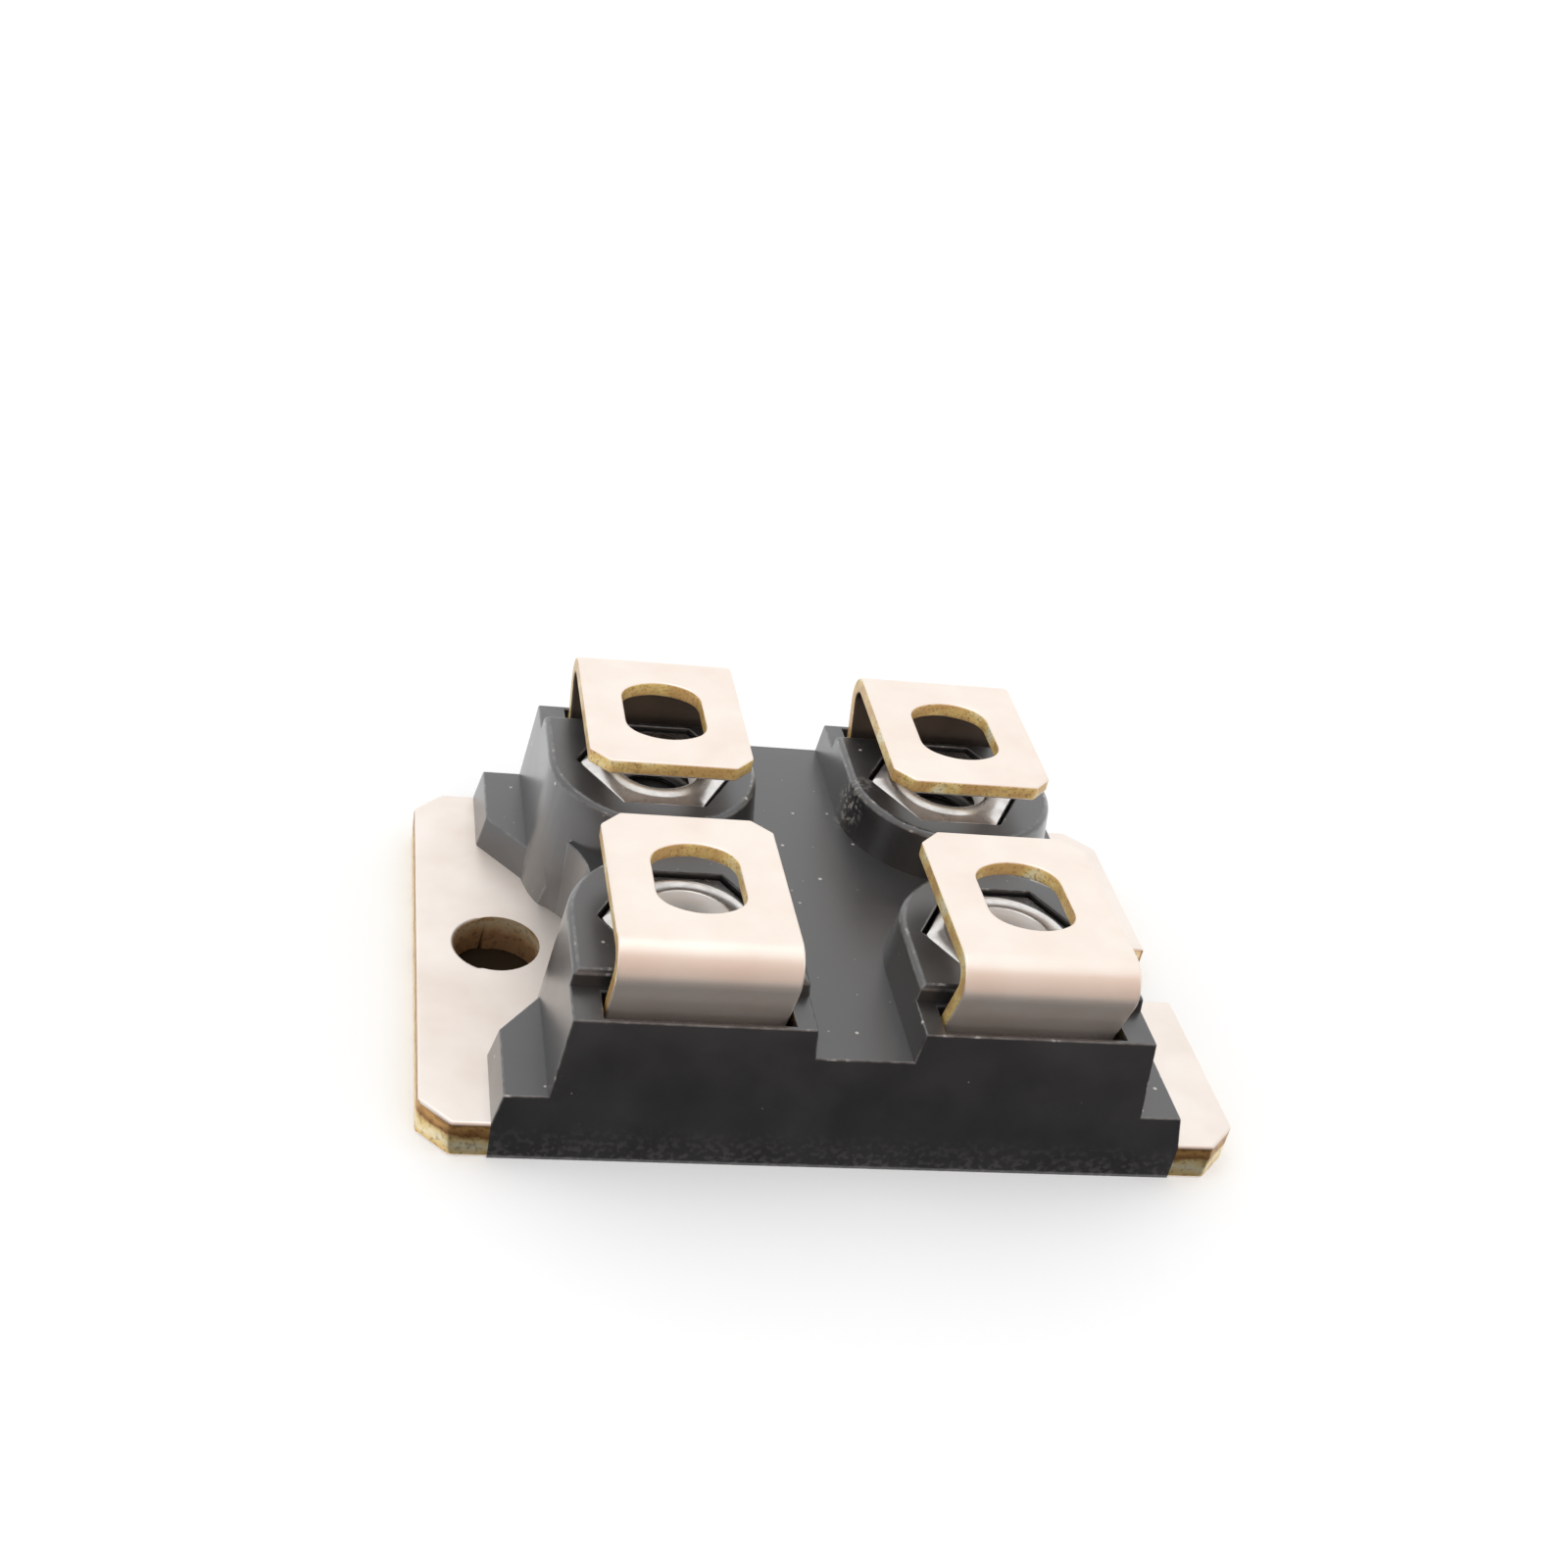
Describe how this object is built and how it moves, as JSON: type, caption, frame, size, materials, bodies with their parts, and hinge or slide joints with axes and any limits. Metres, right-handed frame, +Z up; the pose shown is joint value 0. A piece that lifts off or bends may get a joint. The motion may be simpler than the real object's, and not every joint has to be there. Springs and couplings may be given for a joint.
{
  "type": "power semiconductor module",
  "caption": "Flat power semiconductor module with a metal heat-sink plate, a black moulded body and screw terminals bent over captive nuts.",
  "frame": {"origin": "centre of the base plate's underside", "axes": "+X along the plate, from the round mounting hole to the open slot; +Z up out of the terminals; front is -Y"},
  "size_m": [0.038, 0.0252, 0.0117],
  "materials": {
    "nickel_copper": "nickel-plated copper, satin, with bare sheared edges",
    "moulding": "black transfer-moulded epoxy, satin",
    "nut_steel": "bright nickel-plated steel",
    "solder": "reflowed solder",
    "pad_copper": "bare copper bonded to ceramic",
    "ceramic": "alumina ceramic",
    "silicon": "silicon die",
    "bond_aluminium": "drawn aluminium wire"
  },
  "bodies": {
    "root": {"base_plate": "nickel_copper", "base_solder": "solder", "chip_solder": "solder", "drain_pad": "pad_copper", "gate_pad": "pad_copper", "gate_wire": "bond_aluminium", "moulded_body": "moulding", "power_chip": "silicon", "sense_pad": "pad_copper", "sense_wire": "bond_aluminium", "source_pad": "pad_copper", "source_wires": "bond_aluminium", "substrate_back_copper": "pad_copper", "substrate_ceramic": "ceramic", "terminal_front_left": "nickel_copper", "terminal_front_right": "nickel_copper", "terminal_nuts": "nut_steel", "terminal_rear_left": "nickel_copper", "terminal_rear_right": "nickel_copper", "terminal_solder": "solder"}
  },
  "joints": []
}
